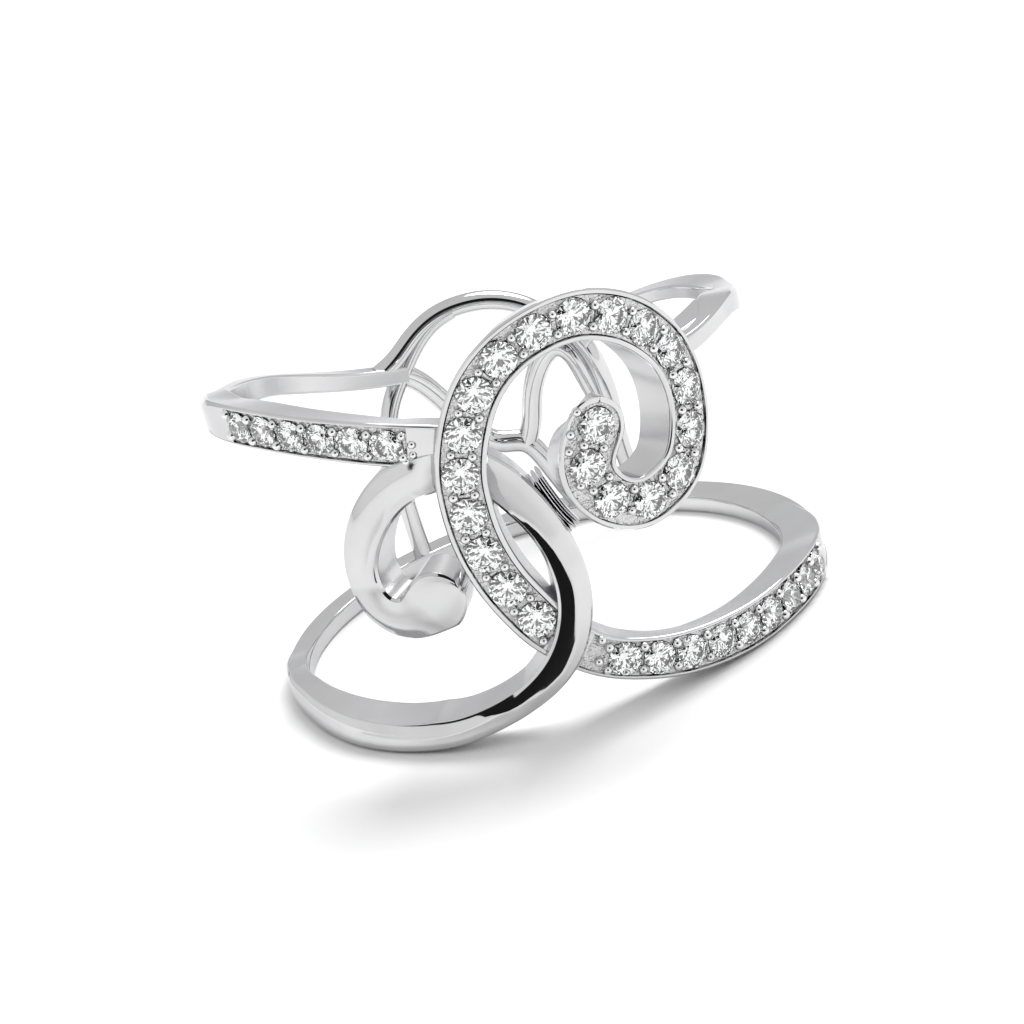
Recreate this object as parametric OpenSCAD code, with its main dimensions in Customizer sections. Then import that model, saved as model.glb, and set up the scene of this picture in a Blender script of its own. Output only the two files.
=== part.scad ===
// Openwork swirl ring: two bands that cross in a pair of swirls at the front and meet
// in a wire loop at the back, with a single row of round brilliants.
// Z runs along the finger, the swirls face -Y, and the lower band lies on Z = 0.

/* [Finger hole and bands] */
// Radius of the finger hole
bore_r = 8.6; // [8.5:0.05:8.7]
// Height of the lower band at the back
band_h = 0.62; // [0.56:0.02:0.7]
// Radius of the lower band's outside
band_r = 9.7; // [9.65:0.05:9.8]
// Distance that the lower band's outside stands off centre, towards the right
band_off = 0.3; // [0.2:0.05:0.35]

/* [Swirls] */
// Radius of the stone-set swirl's face, from the finger's axis
face_r = 10.4; // [10.35:0.05:10.5]
// Half the width of the stone-set swirl
face_half = 0.92; // [0.9:0.01:0.96]
// Angle of the stone-set swirl's eye round the finger
eye_a = 23.5; // [23:0.5:24]
// Height of the stone-set swirl's eye
eye_z = 10.3; // [10.2:0.05:10.4]
// How much narrower the swirl is at its back, all on the outer side
draft = 0.6; // [0.4:0.05:0.65]
// How much lower the upper arm's top is at the finger than at its face
upper_draft = 0.5; // [0.4:0.05:0.55]
// How much lower the lower arm's top is at the finger than at its face
lower_draft = 0.35; // [0.2:0.05:0.4]
// Radius of the round end of the plain swirl
bulb_r = 1.13; // [1.05:0.01:1.15]

/* [Stones] */
// Diameter of a stone on the swirl
swirl_stone_d = 1.3; // [1.2:0.01:1.32]
// Diameter of a stone on the arms
arm_stone_d = 1.18; // [1.1:0.01:1.2]
// Distance between stones on the swirl
swirl_pitch = 1.505; // [1.495:0.005:1.505]
// Distance between stones on the lower arm
lower_pitch = 1.3; // [1.28:0.01:1.31]
// Distance between stones on the upper arm
upper_pitch = 1.27; // [1.26:0.01:1.28]
// Width of the swirl's rims on each side of the stones
swirl_rim = 0.19; // [0.17:0.01:0.19]
// Width of the arms' rims on each side of the stones
arm_rim = 0.13; // [0.1:0.01:0.14]
// Depth of the stones' channel below its rims
channel_d = 0.7; // [0.68:0.01:0.75]
// Height of the setting beads above the rims
bead_h = 0.12; // [0.08:0.01:0.14]

/* [Back loop] */
// Half the width of the loop's wires
wire_half = 0.36; // [0.32:0.01:0.4]
// Half the width of the bars inside the loop
bar_half = 0.42; // [0.36:0.01:0.45]
// Thickness of the wires
wire_t = 0.78; // [0.7:0.01:0.85]

/* [Hidden] */
// Angle in degrees that one millimetre takes up on the ring's outside
DEG = 180 / (PI * face_r);
// Faceted walls keep this far outside the true finger hole
CLEAR = 0.03;
// True wall of the finger hole: thickness, angle that it starts at, angle that it takes in
WALL_T = 0.3;
WALL_START = -45;
WALL_TURN = 298;
// Corners of the sector that the lower band's plain back half keeps to
BACK_HALF = [[0, 0], [14, 1.5], [14, 14], [-14, 14], [-14, 0.5]];
// Distance between the cross sections of a strand
STEP = 0.55;
// Chamfer on the outer edges of a stone-set strand
EDGE = 0.08;
// How much narrower a channel gets on each side, for each millimetre of its depth
TAPER = 0.28;
// Depth of a channel where it is closed, and half the length over which it closes
SHUT = 0.02;
// Beads: distance from the strand's middle, radius
SWIRL_BEAD = [0.37, 0.165];
ARM_BEAD = [0.4, 0.14];
// How far a bead reaches down into the channel's floor
BEAD_FOOT = 0.1;
// How far the channel runs on beyond the first and the last stone of each row
SWIRL_SPAN = [0.85, 0.67];
LOWER_SPAN = [0.75, 0.9];
UPPER_SPAN = [0.8, 0.75];
// Angles round the finger at which the arms' rows of stones end
LOWER_END = 16;
UPPER_END = -52.4;
// How far the swirl's last stone lies from the end of its head
HEAD_GAP = 1.03;
SETTING = "setting";
SWIRL_STONES = 20;
LOWER_STONES = 9;
UPPER_STONES = 6;

// Columns of a strand's rows
A = 0; // angle round the finger
Z = 1; // height
HALF = 2; // half width
OUT = 3; // outer radius
IN = 4; // inner radius, where it isn't the finger hole's

// Arm that carries the swirl's tail round to the lower band
LOWER_ARM = [
    [97, 0.52, 0.46, 9.95],
    [84, 0.64, 0.6, 10.1],
    [72, 0.79, 0.76, 10.2],
    [58, 0.84, 0.8, 10.2],
    [45, 0.87, 0.82, 10.2],
    [31, 1.14, 0.8, 10.2],
    [20.5, 1.62, 0.76, 10.2],
    [11.5, 2.35, 0.76, 10.2],
    [5, 3.5, 0.86, 10.3]
];

// Spiral of the stone-set swirl round its eye: bearing, distance and, at its round head, how
// much wider it is on each side and its inner radius where it clears the finger
SPIRAL = [
    [236, 7.1],
    [222, 6.4],
    [208, 5.85],
    [194, 5.4],
    [180, 5.1],
    [162, 4.8],
    [144, 4.68],
    [126, 4.54],
    [108, 4.34],
    [88, 4.14],
    [68, 3.9],
    [46, 3.74],
    [20, 3.76],
    [-4, 3.79],
    [-26, 3.8],
    [-46, 3.8],
    [-70, 3.44],
    [-86, 3.03, 0.03],
    [-99, 2.56, 0.06],
    [-113, 2, 0.1],
    [-125, 1.42, 0.14],
    [-138, 0.75, 0.18],
    [-176, 0.17, 0.22, 9.1],
    [75, 1.1, 0.22, 9.7]
];

// Plain strand from the lower band over the tail, under the arc and round the small swirl
PLAIN = [
    [-90, 0.48, 0.42, 9.4],
    [-80, 0.52, 0.46, 9.45],
    [-68, 0.52, 0.46, 9.52],
    [-56, 0.5, 0.44, 9.75],
    [-43, 0.46, 0.4, 10.05],
    [-31, 0.44, 0.38, 10.2],
    [-21, 0.57, 0.38, 10.3],
    [-12.5, 0.98, 0.4, 10.4],
    [-5, 1.52, 0.47, 10.45],
    [1.8, 2.28, 0.55, 10.58],
    [6.6, 3.3, 0.6, 10.68],
    [9.4, 4.6, 0.6, 10.7],
    [9.9, 6, 0.6, 10.65],
    [8, 7.6, 0.62, 10.4],
    [3, 9.15, 0.72, 9.95],
    [-3, 10.05, 0.72, 9.6],
    [-9, 10.4, 0.76, 10.1],
    [-18, 10.15, 0.76, 10.4],
    [-26, 8.9, 0.72, 10.42],
    [-30.5, 7.3, 0.68, 10.42],
    [-29.7, 5.85, 0.68, 10.42],
    [-25, 5.2, 0.72, 10.42],
    [-20.8, 5.3, 0.88, 10.42],
    [-16.6, 5.73, bulb_r, 10.42],
    [-10.8, 6.16, bulb_r, 10.42]
];

// How much higher the strand is at the finger than at its face: distance, height
PLAIN_LIFTS = [
    [0, 0.1],
    [3.5, 0.4],
    [12, 0.5],
    [16, 0]
];

// Upper band, left: the stone-set arm, the turn at the side and the leg to the back loop
UPPER_LEFT = [
    [-5, 11.15, 0.7, 9.9],
    [-10, 11.4, 0.8, 10.1],
    [-19, 11.72, 0.82, 10.15],
    [-28, 12.02, 0.8, 10.15],
    [-36, 12.2, 0.78, 10.15],
    [-46, 12.35, 0.77, 10.15],
    [-56, 12.32, 0.76, 10.12],
    [-66, 12.05, 0.74, 9.95],
    [-76, 11.66, 0.72, 9.68],
    [-85, 11.04, 0.68, 9.52],
    [-94, 10.6, 0.52, 9.6],
    [-103, 10.22, 0.34, 9.82],
    [-111, 9.92, 0.27, 9.85],
    [-121, 9.46, 0.25, 9.72],
    [-132, 8.76, 0.25, 9.5],
    [-143, 8.05, 0.25, 9.5],
    [-152, 7.55, 0.27, 9.45],
    [-160, 7.25, 0.3, 9.35]
];

// Upper band, right: from the fork behind the arc, round the side to the back loop
UPPER_RIGHT = [
    [60, 11.32, 0.34, 10.1],
    [68, 11.25, 0.38, 10],
    [77, 10.8, 0.42, 9.7],
    [86, 10.25, 0.44, 9.3],
    [95, 9.8, 0.38, 9.2],
    [104, 9.46, 0.31, 9.42],
    [111, 9.25, 0.27, 9.7],
    [118, 9.1, 0.25, 9.85],
    [128, 8.82, 0.25, 9.72],
    [141, 8.27, 0.25, 9.5],
    [150, 7.7, 0.27, 9.45],
    [158, 6.8, 0.3, 9.35]
];

// The fork's two prongs, side by side in the same arm
FORK_INNER = [
    [66, 11.3, 0.32, 9.6],
    [58, 11.33, 0.32, 9.35],
    [50, 11.3, 0.32, 9.3],
    [42, 11.3, 0.32, 9.3]
];
FORK_OUTER = [
    [66, 11.3, 0.34, 10.1, 9.5],
    [58, 11.28, 0.34, 10.15, 9.65],
    [51, 11.22, 0.35, 10.16, 9.65],
    [47.5, 11.15, 0.35, 9.9, 9.4],
    [45, 11.1, 0.35, 9.55, 9.1]
];

// Wires of the back, counted on round the finger from the front by way of the right side:
// angle, height
LOOP = [
    [154, 0.5],
    [156, 1.8],
    [156.3, 3.3],
    [155.8, 4.3],
    [156, 5.1],
    [157.2, 6.2],
    [160.6, 7.2],
    [165.5, 7.9],
    [170.5, 8.5],
    [177, 8.9],
    [183.7, 9],
    [189.3, 8.9],
    [194, 8.62],
    [198, 8.22],
    [202, 7.75],
    [207, 7.5]
];
POST = [
    [186, 8.92],
    [190, 8.76],
    [193.8, 8.4],
    [197.2, 7.9],
    [200, 7.4],
    [203.1, 6.85],
    [206, 6.2],
    [207.7, 5.5],
    [208.3, 4.2],
    [208.6, 2.4],
    [208.2, 0.4]
];
DIAGONAL = [
    [203, 7.4],
    [200.8, 7.2],
    [197.4, 6.7],
    [194, 5.85],
    [190.8, 4.9],
    [187.6, 4.05],
    [183.5, 3.5],
    [178, 3.38],
    [175.2, 2.6],
    [172.6, 1.6],
    [169, 0.4]
];
ARCH = [
    [178, 3.2],
    [175.3, 4],
    [174, 4.8],
    [172.3, 5.5],
    [169, 6.3],
    [164.8, 6.77],
    [161.8, 6.31],
    [160.3, 5.4],
    [158.8, 4.5],
    [156.8, 3.6]
];
function wire_rows(rows, half) = [for (r = rows) [r[A], r[Z], half, bore_r + wire_t]];

// Lower arm and spiral together, in one run of rows
function spiral_half(s) = face_half + (len(s) > 2 ? s[2] : 0);
function spiral_inner(s) = len(s) > 3 ? s[3] : bore_r + CLEAR;
STONE_SET = concat(
    [for (row = LOWER_ARM) concat(row, [bore_r + CLEAR])],
    [for (s = SPIRAL)
        [eye_a + s[1] * cos(s[0]) * DEG, eye_z + s[1] * sin(s[0]), spiral_half(s), face_r, spiral_inner(s)]]
);

// Smooth curve through rows of any width
function curve(p, q, r, s, t) =
    0.5 * (2 * q + (r - p) * t + (2 * p - 5 * q + 4 * r - s) * t * t + (3 * q - 3 * r + s - p) * t * t * t);
function smooth(rows, parts = 5) = [
    for (i = [0 : len(rows) - 2], k = [0 : parts - 1])
        curve(rows[max(i - 1, 0)], rows[i], rows[i + 1], rows[min(i + 2, len(rows) - 1)], k / parts),
    rows[len(rows) - 1]
];

// Distance along rows, and the row at a distance
function gap(p, q) = norm([(q[A] - p[A]) / DEG, q[Z] - p[Z]]);
function travel(rows) = [
    for (i = 0, s = 0; i < len(rows); s = s + (i < len(rows) - 1 ? gap(rows[i], rows[i + 1]) : 0), i = i + 1) s
];
function row_at(rows, run, s) = [
    for (c = [A : len(rows[0]) - 1]) lookup(s, [for (i = [0 : len(rows) - 1]) [run[i], rows[i][c]]])
];
function reach(rows, run, a) = lookup(a, [for (i = [0 : len(rows) - 1]) [rows[i][A], run[i]]]);
function last(v) = v[len(v) - 1];

// Place on the ring: angle, height, distance from the finger's axis
function spot(a, z, r) = [r * sin(a), -r * cos(a), z];

// Ring of points of one cross section, from its outline of [across, out] pairs
function section(row, along, outline) = [
    for (p = outline) spot(row[A] + p[0] * -along[1] * DEG, row[Z] + p[0] * along[0], p[1])
];
function unit(v) = v / norm(v);
function heading(rows, run, s) =
    let (p = row_at(rows, run, s - 0.1), q = row_at(rows, run, s + 0.1))
    unit([(q[A] - p[A]) / DEG, q[Z] - p[Z]]);

// Outline of a plain strand: flat at the finger, its outer edges rounded, and one side
// higher at the finger by lift
function plain_outline(h, i, o, e, lift) = [
    [h + lift, i],
    [h + 0.6 * lift, o - e],
    [h - 0.3 * e + 0.35 * lift, o - 0.3 * e],
    [h - e, o],
    [-h + e, o],
    [-h + 0.3 * e, o - 0.3 * e],
    [-h, o - e],
    [-h, i]
];
// Outline of a round wire
function wire_outline(h, i, o) = [
    for (k = [0 : 7])
        [-h * cos(45 * k + 22.5) / cos(22.5), (i + o) / 2 + (o - i) / 2 * sin(45 * k - 157.5) / cos(22.5)]
];
// Outline of a stone-set strand: a channel between two rims, its sides drawn in at the back
function channel_outline(h, i, o, d, rim, draw) = [
    [h - draw[1], i],
    [h, o - EDGE],
    [h - EDGE, o],
    [h - rim, o],
    [h - rim - TAPER * d, o - d],
    [-h + rim + TAPER * d, o - d],
    [-h + rim, o],
    [-h + EDGE, o],
    [-h, o - EDGE],
    [-h + draw[0], i]
];

// Closed skin through rings of points
module skin(rings) {
    n = len(rings[0]);
    end = len(rings) - 1;
    polyhedron(
        points = [for (ring = rings, p = ring) p],
        faces = concat(
            [[for (k = [0 : n - 1]) k]],
            [for (j = [0 : end - 1], k = [0 : n - 1], f = [0, 1])
                f == 0
                    ? [j * n + k, (j + 1) * n + k, (j + 1) * n + (k + 1) % n]
                    : [j * n + k, (j + 1) * n + (k + 1) % n, j * n + (k + 1) % n]],
            [[for (k = [n - 1 : -1 : 0]) end * n + k]]
        )
    );
}

// Distances of the cross sections between marks along a strand
function stations(marks) = [
    for (i = [0 : len(marks) - 2])
        let (n = ceil((marks[i + 1] - marks[i]) / STEP))
        for (k = [0 : n - 1]) marks[i] + (marks[i + 1] - marks[i]) * k / n,
    last(marks)
];

// Half width near a round end, at a distance short of it, and the marks that draw the rounding
function round_end(h, left) = left >= h ? h : max(sqrt(h * h - (h - left) * (h - left)), 0.3);
function end_marks(length, h) = concat([for (f = [1, 0.7, 0.45, 0.25, 0.1]) length - f * h], [length]);

// Plain strand along its rows
module strand(rows, edge, lifts = [[0, 0]], round_h = 0) {
    fine = smooth(rows);
    run = travel(fine);
    length = last(run);
    skin([
        for (s = stations(round_h > 0 ? concat([0], end_marks(length, round_h)) : [0, length]))
            let (
                row = row_at(fine, run, s),
                half = round_h > 0 ? round_end(row[HALF], length - s) : row[HALF],
                inner = len(row) > IN ? row[IN] : bore_r + CLEAR
            )
            section(row, heading(fine, run, s), plain_outline(half, inner, row[OUT], edge, lookup(s, lifts)))
    ]);
}

// Round wire along its rows
module wire(rows, half) {
    fine = smooth(wire_rows(rows, half));
    run = travel(fine);
    skin([
        for (s = stations([0, last(run)]))
            let (row = row_at(fine, run, s))
            section(row, heading(fine, run, s), wire_outline(row[HALF], bore_r + CLEAR, row[OUT]))
    ]);
}

// Stone-set strand, with the channel cut between each pair of distances in spans
function cut(spans, s) = len([for (c = spans) if (s > c[0] && s < c[1]) c]) > 0;
module set_strand(fine, run, spans, rims, drafts, round_h = 0) {
    length = last(run);
    edges = [for (c = spans, e = c, side = [-SHUT, SHUT]) e + side];
    marks = concat([0], edges, round_h > 0 ? end_marks(length, round_h) : [length]);
    skin([
        for (s = stations(marks))
            let (
                row = row_at(fine, run, s),
                half = round_h > 0 ? round_end(row[HALF], length - s) : row[HALF],
                inner = max(bore_r + CLEAR, len(row) > IN ? row[IN] : 0),
                rim = s < spans[0][1] + STEP ? rims[0] : rims[1],
                draw = [for (side = drafts) min([for (d = side) lookup(row[d[0]], d[1])]) * half / face_half],
                depth = cut(spans, s) ? channel_d : SHUT
            )
            section(row, heading(fine, run, s),
                channel_outline(half, inner, row[OUT], depth, min(rim, half - 0.12), draw))
    ]);
}

// Distances of a row of stones that stand a pitch apart in a straight line, up to its end
function behind(rows, run, s, pitch, step) =
    s - step * pitch / gap(row_at(rows, run, s), row_at(rows, run, s - step));
function places(rows, run, end, pitch, n) = turned([
    for (k = 0, s = end; k < n; s = behind(rows, run, s, pitch, s - behind(rows, run, s, pitch, pitch)), k = k + 1)
        s
]);
function turned(v) = [for (k = [len(v) - 1 : -1 : 0]) v[k]];

// Rows at the stones of a row, with one a pitch before its first and maybe one after its last
function stone_rows(fine, run, row, pitch, after) = [
    for (s = concat([row[0] - pitch], row, after ? [last(row) + pitch] : [])) row_at(fine, run, s)
];

FINE_SET = smooth(STONE_SET);
RUN_SET = travel(FINE_SET);
FINE_ARM = smooth(LOWER_ARM);
FINE_UPPER = smooth(UPPER_LEFT);
RUN_UPPER = travel(FINE_UPPER);
SWIRL_ROW = places(FINE_SET, RUN_SET, last(RUN_SET) - HEAD_GAP, swirl_pitch, SWIRL_STONES);
LOWER_ROW = places(FINE_SET, RUN_SET, reach(FINE_ARM, travel(FINE_ARM), LOWER_END), lower_pitch, LOWER_STONES);
UPPER_ROW = places(FINE_UPPER, RUN_UPPER, reach(FINE_UPPER, RUN_UPPER, UPPER_END), upper_pitch, UPPER_STONES);

// Stretch that the channel of a row of stones takes up
function row_span(row, more) = [row[0] - more[0], last(row) + more[1]];

// How much a stone-set strand's two sides are drawn in at the back: columns of its rows, and
// for each the most by its value
SWIRL_DRAFTS = [
    [[Z, [[1.1, lower_draft], [2.2, 0]]]],
    [
        [Z, [[3, 0], [6, draft]]],
        [HALF, [
            [face_half + 0.02, draft],
            [face_half + 0.08, 0],
            [face_half + 0.14, 0],
            [face_half + 0.22, draft]
        ]]
    ]
];
ARM_DRAFTS = [
    [[A, [[-78, 0], [-64, upper_draft], [-16, upper_draft], [-5, upper_draft / 2]]]],
    [[A, [[0, 0]]]]
];

// Frame on the ring at a place: moves what is drawn round the origin there, its height
// pointing out of the ring and its x axis turned up from the way round
module on_ring(a, z, r, turn) {
    translate(spot(a, z, r))
        rotate([0, 0, a])
            rotate([90, 0, 0])
                rotate([0, 0, turn])
                    children();
}
module on_strand(fine, run, s, out) {
    row = row_at(fine, run, s);
    along = heading(fine, run, s);
    on_ring(row[A], row[Z], row[OUT] + out, atan2(along[1], along[0]))
        children();
}

// Bead of metal that holds the stones beside it, standing on the channel's floor
module bead(r) {
    skin([
        for (layer = [[1, -channel_d - BEAD_FOOT], [1, 0], [0.6, bead_h]])
            [for (k = [0 : 5]) [layer[0] * r * cos(60 * k), layer[0] * r * sin(60 * k), layer[1]]]
    ]);
}
// Two beads abreast halfway between each row of rows and the next
module beads(rows, size) {
    for (k = [1 : len(rows) - 1], side = [-1, 1]) {
        mid = (rows[k - 1] + rows[k]) / 2;
        way = unit([(rows[k][A] - rows[k - 1][A]) / DEG, rows[k][Z] - rows[k - 1][Z]]);
        on_ring(mid[A] - side * size[0] * way[1] * DEG, mid[Z] + side * size[0] * way[0], mid[OUT], 0)
            bead(size[1]);
    }
}

// Round brilliant with its girdle at z = 0: an eight-sided table, stars, kites and halves
function ring_of(n, r, z, turn = 0) = [
    for (k = [0 : n - 1]) [r * cos(360 * k / n + turn), r * sin(360 * k / n + turn), z]
];
module brilliant(d) {
    r = d / 2;
    table_r = 0.56 * r;
    star_r = 0.77 * r;
    low_r = 0.24 * r;
    crown = 0.145 * d;
    deep = 0.43 * d;
    edge = 0.015 * d;
    star_z = edge + crown * (r - star_r * cos(22.5)) / (r - table_r);
    low_z = -edge - deep * (1 - low_r * cos(22.5) / r);
    // rings in turn: table 0..7, stars 8..15, upper girdle 16..31, lower girdle 32..47, halves 48..55
    polyhedron(
        points = concat(
            ring_of(8, table_r, edge + crown),
            ring_of(8, star_r, star_z, 22.5),
            ring_of(16, r, edge),
            ring_of(16, r, -edge),
            ring_of(8, low_r, low_z, 22.5),
            [[0, 0, -edge - deep]]
        ),
        faces = concat(
            [[for (k = [7 : -1 : 0]) k]],
            [for (k = [0 : 7]) [k, (k + 1) % 8, 8 + k]],
            [for (k = [0 : 7]) [k, 8 + k, 16 + 2 * k]],
            [for (k = [0 : 7]) [k, 16 + 2 * k, 8 + (k + 7) % 8]],
            [for (k = [0 : 7]) [8 + k, 16 + 2 * k + 1, 16 + 2 * k]],
            [for (k = [0 : 7]) [8 + k, 16 + (2 * k + 2) % 16, 16 + 2 * k + 1]],
            [for (k = [0 : 15]) [16 + k, 16 + (k + 1) % 16, 32 + k]],
            [for (k = [0 : 15]) [16 + (k + 1) % 16, 32 + (k + 1) % 16, 32 + k]],
            [for (k = [0 : 7]) [48 + k, 32 + 2 * k, 32 + 2 * k + 1]],
            [for (k = [0 : 7]) [48 + k, 32 + 2 * k + 1, 32 + (2 * k + 2) % 16]],
            [for (k = [0 : 7]) [56, 32 + 2 * k, 48 + k]],
            [for (k = [0 : 7]) [56, 48 + (k + 7) % 8, 32 + 2 * k]]
        )
    );
}

// The lower band's back half and the true wall of the finger hole
module lower_band() {
    intersection() {
        difference() {
            translate([band_off, 0, 0])
                cylinder(r = band_r, h = band_h, $fn = 128);
            translate([0, 0, -1])
                cylinder(r = bore_r + WALL_T / 2, h = band_h + 2, $fn = 128);
        }
        linear_extrude(height = band_h)
            polygon(BACK_HALF);
    }
    rotate([0, 0, WALL_START])
        rotate_extrude(angle = WALL_TURN, $fn = 128)
            translate([bore_r, 0])
                square([WALL_T, band_h]);
}

module strands() {
    set_strand(FINE_SET, RUN_SET,
        [row_span(LOWER_ROW, LOWER_SPAN), row_span(SWIRL_ROW, SWIRL_SPAN)],
        [arm_rim, swirl_rim], SWIRL_DRAFTS, spiral_half(last(SPIRAL)));
    set_strand(FINE_UPPER, RUN_UPPER, [row_span(UPPER_ROW, UPPER_SPAN)], [arm_rim, arm_rim], ARM_DRAFTS);
    strand(PLAIN, 0.22, PLAIN_LIFTS, bulb_r);
    strand(UPPER_RIGHT, 0.15);
    strand(FORK_INNER, 0.1);
    strand(FORK_OUTER, 0.1);
    wire(LOOP, wire_half);
    wire(POST, wire_half);
    wire(DIAGONAL, bar_half);
    wire(ARCH, bar_half);
}

module setting() {
    color("silver") {
        lower_band();
        strands();
        beads(stone_rows(FINE_SET, RUN_SET, SWIRL_ROW, swirl_pitch, false), SWIRL_BEAD);
        beads(stone_rows(FINE_SET, RUN_SET, LOWER_ROW, lower_pitch, true), ARM_BEAD);
        beads(stone_rows(FINE_UPPER, RUN_UPPER, UPPER_ROW, upper_pitch, true), ARM_BEAD);
    }
}

// One stone of a row
module stone(fine, run, s, d) {
    color("azure")
        on_strand(fine, run, s, -CLEAR)
            brilliant(d);
}

function names(word, n) = [for (k = [1 : n]) str(word, "_stone_", k < 10 ? "0" : "", k)];
SWIRL_NAMES = names("swirl", SWIRL_STONES);
LOWER_NAMES = names("lower_arm", LOWER_STONES);
UPPER_NAMES = names("upper_arm", UPPER_STONES);

setting();
for (k = [0 : SWIRL_STONES - 1])
    stone(FINE_SET, RUN_SET, SWIRL_ROW[k], swirl_stone_d);
for (k = [0 : LOWER_STONES - 1])
    stone(FINE_SET, RUN_SET, LOWER_ROW[k], arm_stone_d);
for (k = [0 : UPPER_STONES - 1])
    stone(FINE_UPPER, RUN_UPPER, UPPER_ROW[k], arm_stone_d);
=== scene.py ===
"""Openwork swirl ring in white gold with a row of brilliants, lying on its side.

The strands are swept along the same rows as the solids, at a fine step and with rounded
edges. The stones are the solids' own. Lengths are in millimetres until a mesh is made.
"""

import logging
import math
from dataclasses import dataclass, field
from enum import Enum, IntEnum
from typing import ClassVar, Sequence

import bpy
import numpy as np
from mathutils import Matrix, Vector


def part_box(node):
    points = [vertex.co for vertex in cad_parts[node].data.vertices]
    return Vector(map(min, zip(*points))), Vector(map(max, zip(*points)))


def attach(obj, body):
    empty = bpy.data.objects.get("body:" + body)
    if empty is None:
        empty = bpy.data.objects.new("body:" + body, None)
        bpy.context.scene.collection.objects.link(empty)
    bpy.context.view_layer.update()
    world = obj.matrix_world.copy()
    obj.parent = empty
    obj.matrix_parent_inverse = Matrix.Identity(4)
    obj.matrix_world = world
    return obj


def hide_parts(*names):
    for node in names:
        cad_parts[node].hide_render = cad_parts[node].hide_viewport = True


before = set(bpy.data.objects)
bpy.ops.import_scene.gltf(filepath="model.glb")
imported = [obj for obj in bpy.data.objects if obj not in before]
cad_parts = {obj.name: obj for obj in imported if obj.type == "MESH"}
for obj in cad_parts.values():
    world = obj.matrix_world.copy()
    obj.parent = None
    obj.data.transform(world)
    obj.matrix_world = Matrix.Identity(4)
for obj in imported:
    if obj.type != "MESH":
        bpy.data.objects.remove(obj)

LOG = logging.getLogger("swirl_ring")
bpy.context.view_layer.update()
MM = 0.001
BODY = "root"
CASTING = "setting"

# Radius of the finger hole, the strands' clearance from it, and the radius at which the ring's
# surface is unrolled, with the degrees in a millimetre there
BORE = 8.6
CLEAR = 0.03
FACE = 10.4
DEG = 180 / (math.pi * FACE)
# Half width of the stone-set swirl and depth of its channel
FACE_HALF = 0.92
CHANNEL_DEPTH = 0.7
# The swirl's eye: angle round the finger, height
EYE = (23.5, 10.3)
# Vectors shorter than this have no direction, and a corner past this cosine is straight
TINY = 1e-12
STRAIGHT = 0.9999
# Rounded corners: the share of the shorter edge that an arc may take, then the points on either
# side of the arc that keep the flats beside it flat, with their distance from it and their share
ARC_SHARE = 0.48
GUARDS = 2
GUARD = 0.015
GUARD_SHARE = 0.495
# Average of a noise, and sockets that their names don't tell apart: of a Mix node on colours
# and of a Random Value node on numbers
NOISE_MEAN = 0.5
MIX_FACTOR, MIX_LOW, MIX_HIGH, MIX_RESULT = 0, 6, 7, 2
RANDOM_LOW, RANDOM_HIGH, RANDOM_VALUE = 2, 3, 1


class Column(IntEnum):
    """Columns of a strand's rows."""

    ANGLE = 0
    HEIGHT = 1
    HALF = 2
    OUTER = 3
    INNER = 4


class Surface(IntEnum):
    """Finish of a face of the casting, by its place in the piece's material slots."""

    POLISHED = 0
    SATIN = 1


class Row(Enum):
    """Rows of stones, by the first word of their nodes' names, with how many each has."""

    SWIRL = ("swirl", 20)
    LOWER = ("lower_arm", 9)
    UPPER = ("upper_arm", 6)

    def nodes(self) -> list[str]:
        """Names of the row's nodes, in order along the strand."""
        word, count = self.value
        return [f"{word}_stone_{k:02d}" for k in range(1, count + 1)]


Colour = tuple[float, float, float, float]
Draft = Sequence[tuple[Column, Sequence[tuple[float, float]]]]

# Rows of a strand: angle round the finger, height, half width, outer radius and, where it
# isn't the finger hole's, inner radius
LOWER_ARM = [
    (116, 0.33, 0.3, 9.72), (106, 0.4, 0.36, 9.82), (97, 0.52, 0.46, 9.95), (84, 0.64, 0.6, 10.1),
    (72, 0.79, 0.76, 10.2), (58, 0.84, 0.8, 10.2), (45, 0.87, 0.82, 10.2), (31, 1.14, 0.8, 10.2),
    (20.5, 1.62, 0.76, 10.2), (11.5, 2.35, 0.76, 10.2), (5, 3.5, 0.86, 10.3),
]
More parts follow.
